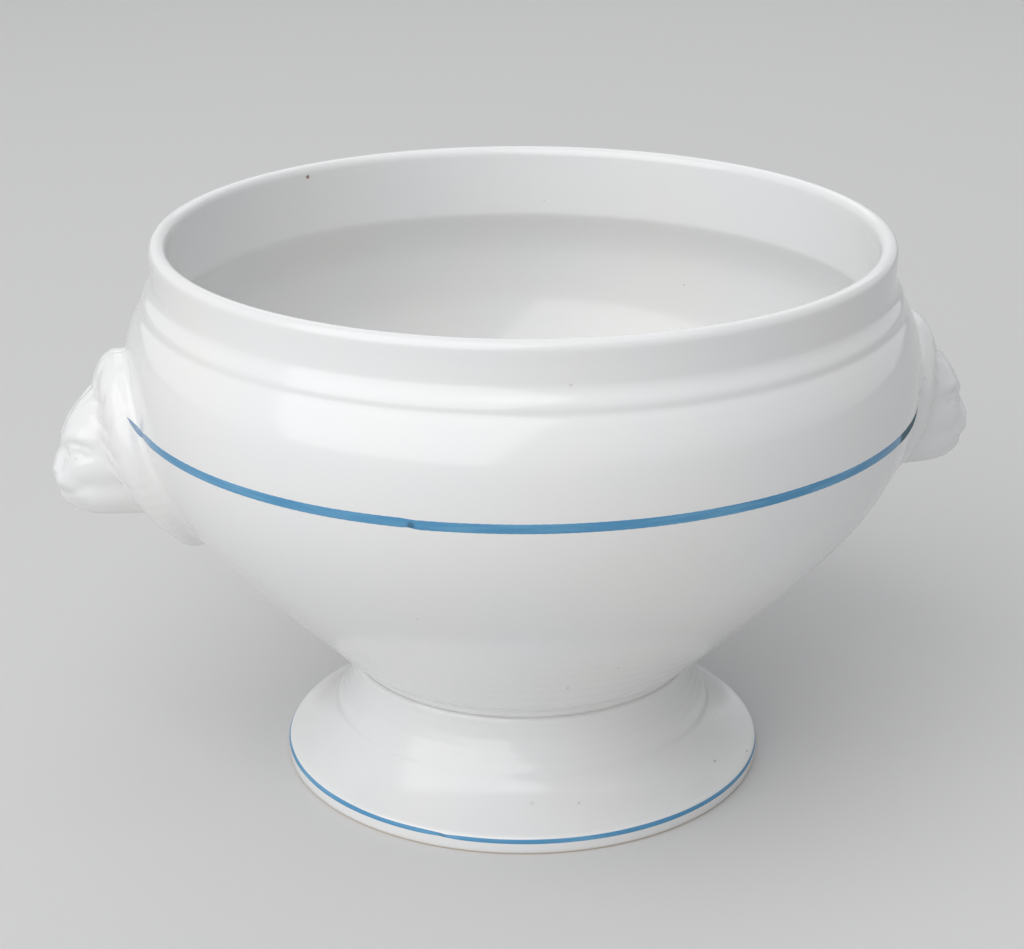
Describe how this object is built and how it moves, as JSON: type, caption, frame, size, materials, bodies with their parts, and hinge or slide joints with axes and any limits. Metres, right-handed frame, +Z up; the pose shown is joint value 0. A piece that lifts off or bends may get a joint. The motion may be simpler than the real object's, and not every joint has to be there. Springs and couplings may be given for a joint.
{
  "type": "salad bowl",
  "caption": "Round footed salad bowl in white glazed earthenware with a rolled rim, a beaded shoulder, moulded lion-head handles and thin blue painted lines.",
  "frame": {"origin": "centre of the foot's resting ring, on the surface the bowl stands on", "axes": "+Z up along the turning axis, +X out through the right lion head, -Y towards the pictured front"},
  "size_m": [0.2886, 0.2416, 0.1712],
  "materials": {
    "white_glaze": "glossy white glaze over earthenware",
    "blue_paint": "brushed blue enamel line fired onto the glaze"
  },
  "bodies": {
    "root": {"bowl_body": "white_glaze", "pedestal_foot": "white_glaze", "lion_head_right": "white_glaze", "lion_head_left": "white_glaze", "body_line_front": "blue_paint", "body_line_back": "blue_paint", "foot_line": "blue_paint"}
  },
  "joints": []
}
